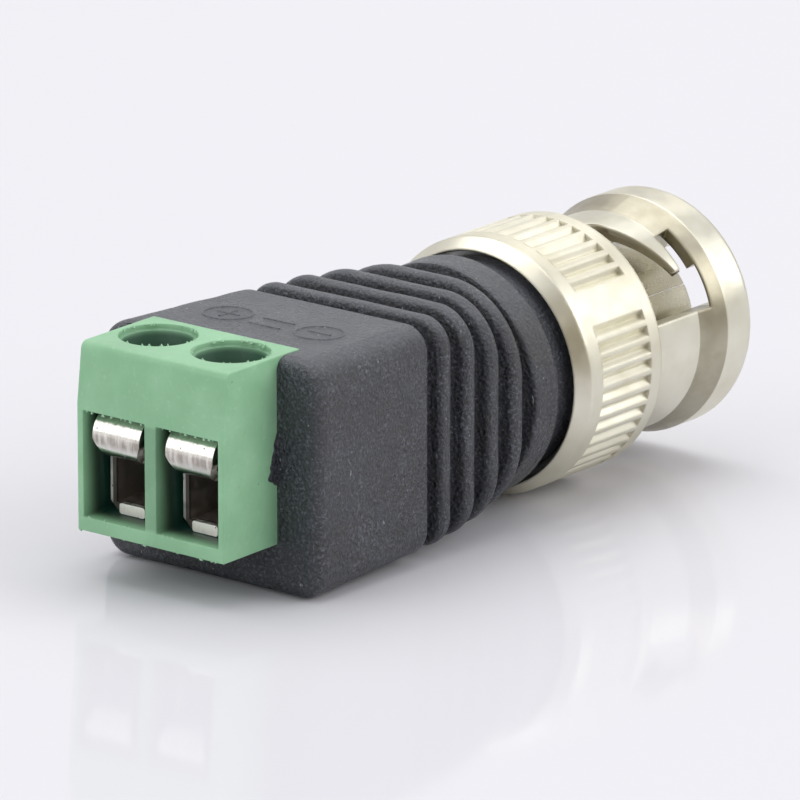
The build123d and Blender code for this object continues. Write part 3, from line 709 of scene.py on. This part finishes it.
# Terminal screws with a real thread of the same travel as the clamp cages, and a driver slot
LEAD, SHANK, ROOT, NECK, HEAD = 0.45, 1.3, 1.13, 1.12, 1.7
HEAD_HEIGHT, POINT_HEIGHT, THREAD_STEPS, AROUND = 0.85, 0.2, 8, 36
SLOT_HALF, SLOT_DEPTH = 0.3, 0.4
for side, cell_y in CELLS:
    low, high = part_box(side + "_terminal_screw")
    tip, top = low.z / MM, high.z / MM
    head_base = top - HEAD_HEIGHT
    # stations of (z, radius), where the thread's own radius takes the place of None
    levels = [(tip, 0.0), (tip, 0.95), (tip + POINT_HEIGHT, 1.1)]
    rows = int((head_base - 0.35 - tip - POINT_HEIGHT) / (LEAD / THREAD_STEPS))
    levels += [(tip + POINT_HEIGHT + (i + 1) * LEAD / THREAD_STEPS, None) for i in range(rows)]
    levels += [(head_base - 0.3, NECK), (head_base, NECK), (head_base, HEAD - 0.08)]
    levels += [(head_base + 0.08, HEAD), (top - 0.15, HEAD), (top - 0.05, HEAD - 0.06)]
    levels += [(top, HEAD - 0.16), (top, 0.0)]
    points = []
    for z, radius in levels:
        for k in range(AROUND):
            turn = math.tau * k / AROUND
            r = radius
            if r is None:
                wave = ((z - tip) / LEAD - k / AROUND) % 1
                crest = max(0, min(1, 2.6 * (0.5 - abs(wave - 0.5)) - 0.15))
                r = ROOT + (SHANK - 0.02 - ROOT) * crest
            points.append((SCREW_X + r * math.cos(turn), cell_y + r * math.sin(turn), z))
    screw = new_object(side + "_threaded_screw", points, faces_between(len(levels), AROUND))
    shape = bmesh.new()
    shape.from_mesh(screw.data)
    bmesh.ops.remove_doubles(shape, verts=shape.verts, dist=0.001)
    shape.to_mesh(screw.data)
    shape.free()
    slot_low = (1, cell_y - SLOT_HALF, top - SLOT_DEPTH)
    cut(screw, block("cut_slot", slot_low, (7, cell_y + SLOT_HALF, top + 1)))
    done(screw, side + "_screw", screw_steel, 40)
    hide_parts(side + "_terminal_screw")


# The plug's body, turned from its (x, radius) profile with broken edges and a rounded nose. The
# slits of its contact are sprung almost closed.
SLIT_START, SLIT_HALF, SLIT_TURN, BODY_AROUND = 37.75, 0.03, 57, 96
body_profile = [
    (BODY_REAR, 3.6), (BODY_REAR, 4.95), (19.05, HUB_RADIUS), (32.4, HUB_RADIUS), (32.4, 6.35),
    (32.45, 6.4), (33.5, 6.4), (33.55, 6.35), (33.55, 4.85), (34.6, 4.85), (34.6, 4.3),
    (35.2, 4.3), (35.2, 4.05), (42.4, 4.05), (42.6, 4.0), (42.72, 3.92), (42.75, 3.85),
    (42.75, 3.66), (42.7, 3.6), (33.0, 3.6), (33.0, 3.0), (22.0, 3.0), (22.0, 3.6),
]
points, faces = [], []
for x, radius in body_profile:
    for k in range(BODY_AROUND):
        turn = math.tau * k / BODY_AROUND
        points.append((x, -radius * math.sin(turn), radius * math.cos(turn)))
for i in range(len(body_profile)):
    here, there = i * BODY_AROUND, (i + 1) % len(body_profile) * BODY_AROUND
    for k in range(BODY_AROUND):
        n = (k + 1) % BODY_AROUND
        faces.append((here + k, there + k, there + n, here + n))
plug = new_object("turned_plug_body", points, faces)
for number in range(2):
    slit = block("cut_slit", (SLIT_START, -SLIT_HALF, -6), (44, SLIT_HALF, 6))
    slit.data.transform(Matrix.Rotation(math.radians(SLIT_TURN + 90 * number), 4, "X"))
    cut(plug, slit)
done(plug, "shell", bright_nickel, 35)
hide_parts("bnc_body")


# The waved spring, with its edges broken and a mesh of its own. In the plug it gives way when the
# coupling sleeve is pushed ahead, towards the washer before it
spring = softened_copy("waved_spring", "wave_spring", 0.03, 1)
done(spring, "shell", spring_steel, 40)
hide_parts("wave_spring")
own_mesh(spring)


# Camera at the photograph's place
view_direction = Vector((0.75144, 0.59311, -0.28908)).normalized()
camera_data = bpy.data.cameras.new("camera")
camera_data.sensor_width = 36
camera_data.lens = 412.26
camera_data.clip_start = 0.01
camera_data.clip_end = 20
camera = bpy.data.objects.new("camera", camera_data)
camera.location = Vector((-353.374, -295.695, 143.942)) * MM
right = view_direction.cross(Vector((0, 0, 1))).normalized()
up = right.cross(view_direction)
camera.rotation_euler = Matrix((right, up, -view_direction)).transposed().to_euler()
bpy.context.scene.collection.objects.link(camera)
bpy.context.scene.camera = camera

# Floor: it touches the boot's front lower edge and the knurled band's rear edge
front_touch = Vector((4.5, 0, BOOT_BASE)) * MM
rear_touch = Vector((28.9, 0, -7.32)) * MM
floor_x = (rear_touch - front_touch).normalized()
reach = 3.0
corners = [
    front_touch + floor_x * i * reach + Vector((0, j * reach, 0))
    for i, j in ((-1, -1), (1, -1), (1, 1), (-1, 1))
]
floor_mesh = bpy.data.meshes.new("floor")
floor_mesh.from_pydata(corners, [], [(0, 1, 2, 3)])
floor = bpy.data.objects.new("floor", floor_mesh)
bpy.context.scene.collection.objects.link(floor)
acrylic = Surface("pale_acrylic_floor", srgb(225, 224, 228), 0.07)
acrylic.flat("IOR", 1.13)
floor_mesh.materials.append(acrylic.material)

# Soft studio light. Reflections see a bright room with a dim, warm side to the right of the camera.
world = bpy.data.worlds.new("studio")
world.use_nodes = True
bpy.context.scene.world = world
tree = world.node_tree
tree.nodes.clear()


def world_node(kind, **settings):
    node = tree.nodes.new(kind)
    for name, value in settings.items():
        setattr(node, name, value)
    return node


output = world_node("ShaderNodeOutputWorld")
light = world_node("ShaderNodeBackground")
light.inputs["Color"].default_value = (0.96, 0.96, 1.0, 1)
light.inputs["Strength"].default_value = 0.56
shown = world_node("ShaderNodeBackground")
shown.inputs["Strength"].default_value = 0.95
place = world_node("ShaderNodeTexCoord")
towards = world_node("ShaderNodeVectorMath", operation="DOT_PRODUCT")
towards.inputs[1].default_value = Vector((-0.25, -0.95, 0.15)).normalized()
tree.links.new(place.outputs["Generated"], towards.inputs[0])
dim = world_node("ShaderNodeMapRange", interpolation_type="SMOOTHSTEP")
dim.inputs["From Min"].default_value = 0.45
dim.inputs["From Max"].default_value = 0.95
tree.links.new(towards.outputs["Value"], dim.inputs["Value"])
tint = world_node("ShaderNodeMix", data_type="RGBA")
tint.inputs["A"].default_value = (0.80, 0.79, 0.80, 1)
tint.inputs["B"].default_value = (0.36, 0.32, 0.25, 1)
tree.links.new(dim.outputs["Result"], tint.inputs["Factor"])
tree.links.new(tint.outputs["Result"], shown.inputs["Color"])
ray = world_node("ShaderNodeLightPath")
straight = world_node("ShaderNodeMath", operation="MAXIMUM")
tree.links.new(ray.outputs["Is Camera Ray"], straight.inputs[0])
tree.links.new(ray.outputs["Is Glossy Ray"], straight.inputs[1])
seen = world_node("ShaderNodeMath", operation="MAXIMUM")
tree.links.new(straight.outputs["Value"], seen.inputs[0])
tree.links.new(ray.outputs["Is Transmission Ray"], seen.inputs[1])
either = world_node("ShaderNodeMixShader")
tree.links.new(seen.outputs["Value"], either.inputs["Fac"])
tree.links.new(light.outputs["Background"], either.inputs[1])
tree.links.new(shown.outputs["Background"], either.inputs[2])
tree.links.new(either.outputs["Shader"], output.inputs["Surface"])


def soft_box(name, place, target, size, power):
    data = bpy.data.lights.new(name, "AREA")
    data.shape = "RECTANGLE"
    data.size, data.size_y = size
    data.energy = power
    lamp = bpy.data.objects.new(name, data)
    lamp.location = place
    lamp.rotation_euler = (Vector(target) - Vector(place)).to_track_quat("-Z", "Y").to_euler()
    bpy.context.scene.collection.objects.link(lamp)


centre = (0.02, 0, 0)
soft_box("overhead", (0.2, 0.2, 0.75), centre, (0.9, 0.9), 4.1)
soft_box("front_left", (-0.75, 0.25, 0.4), centre, (0.9, 0.7), 2.0)
soft_box("back_right", (0.45, -0.6, 0.4), centre, (0.7, 0.5), 2.5)

scene = bpy.context.scene
scene.view_settings.view_transform = "Standard"
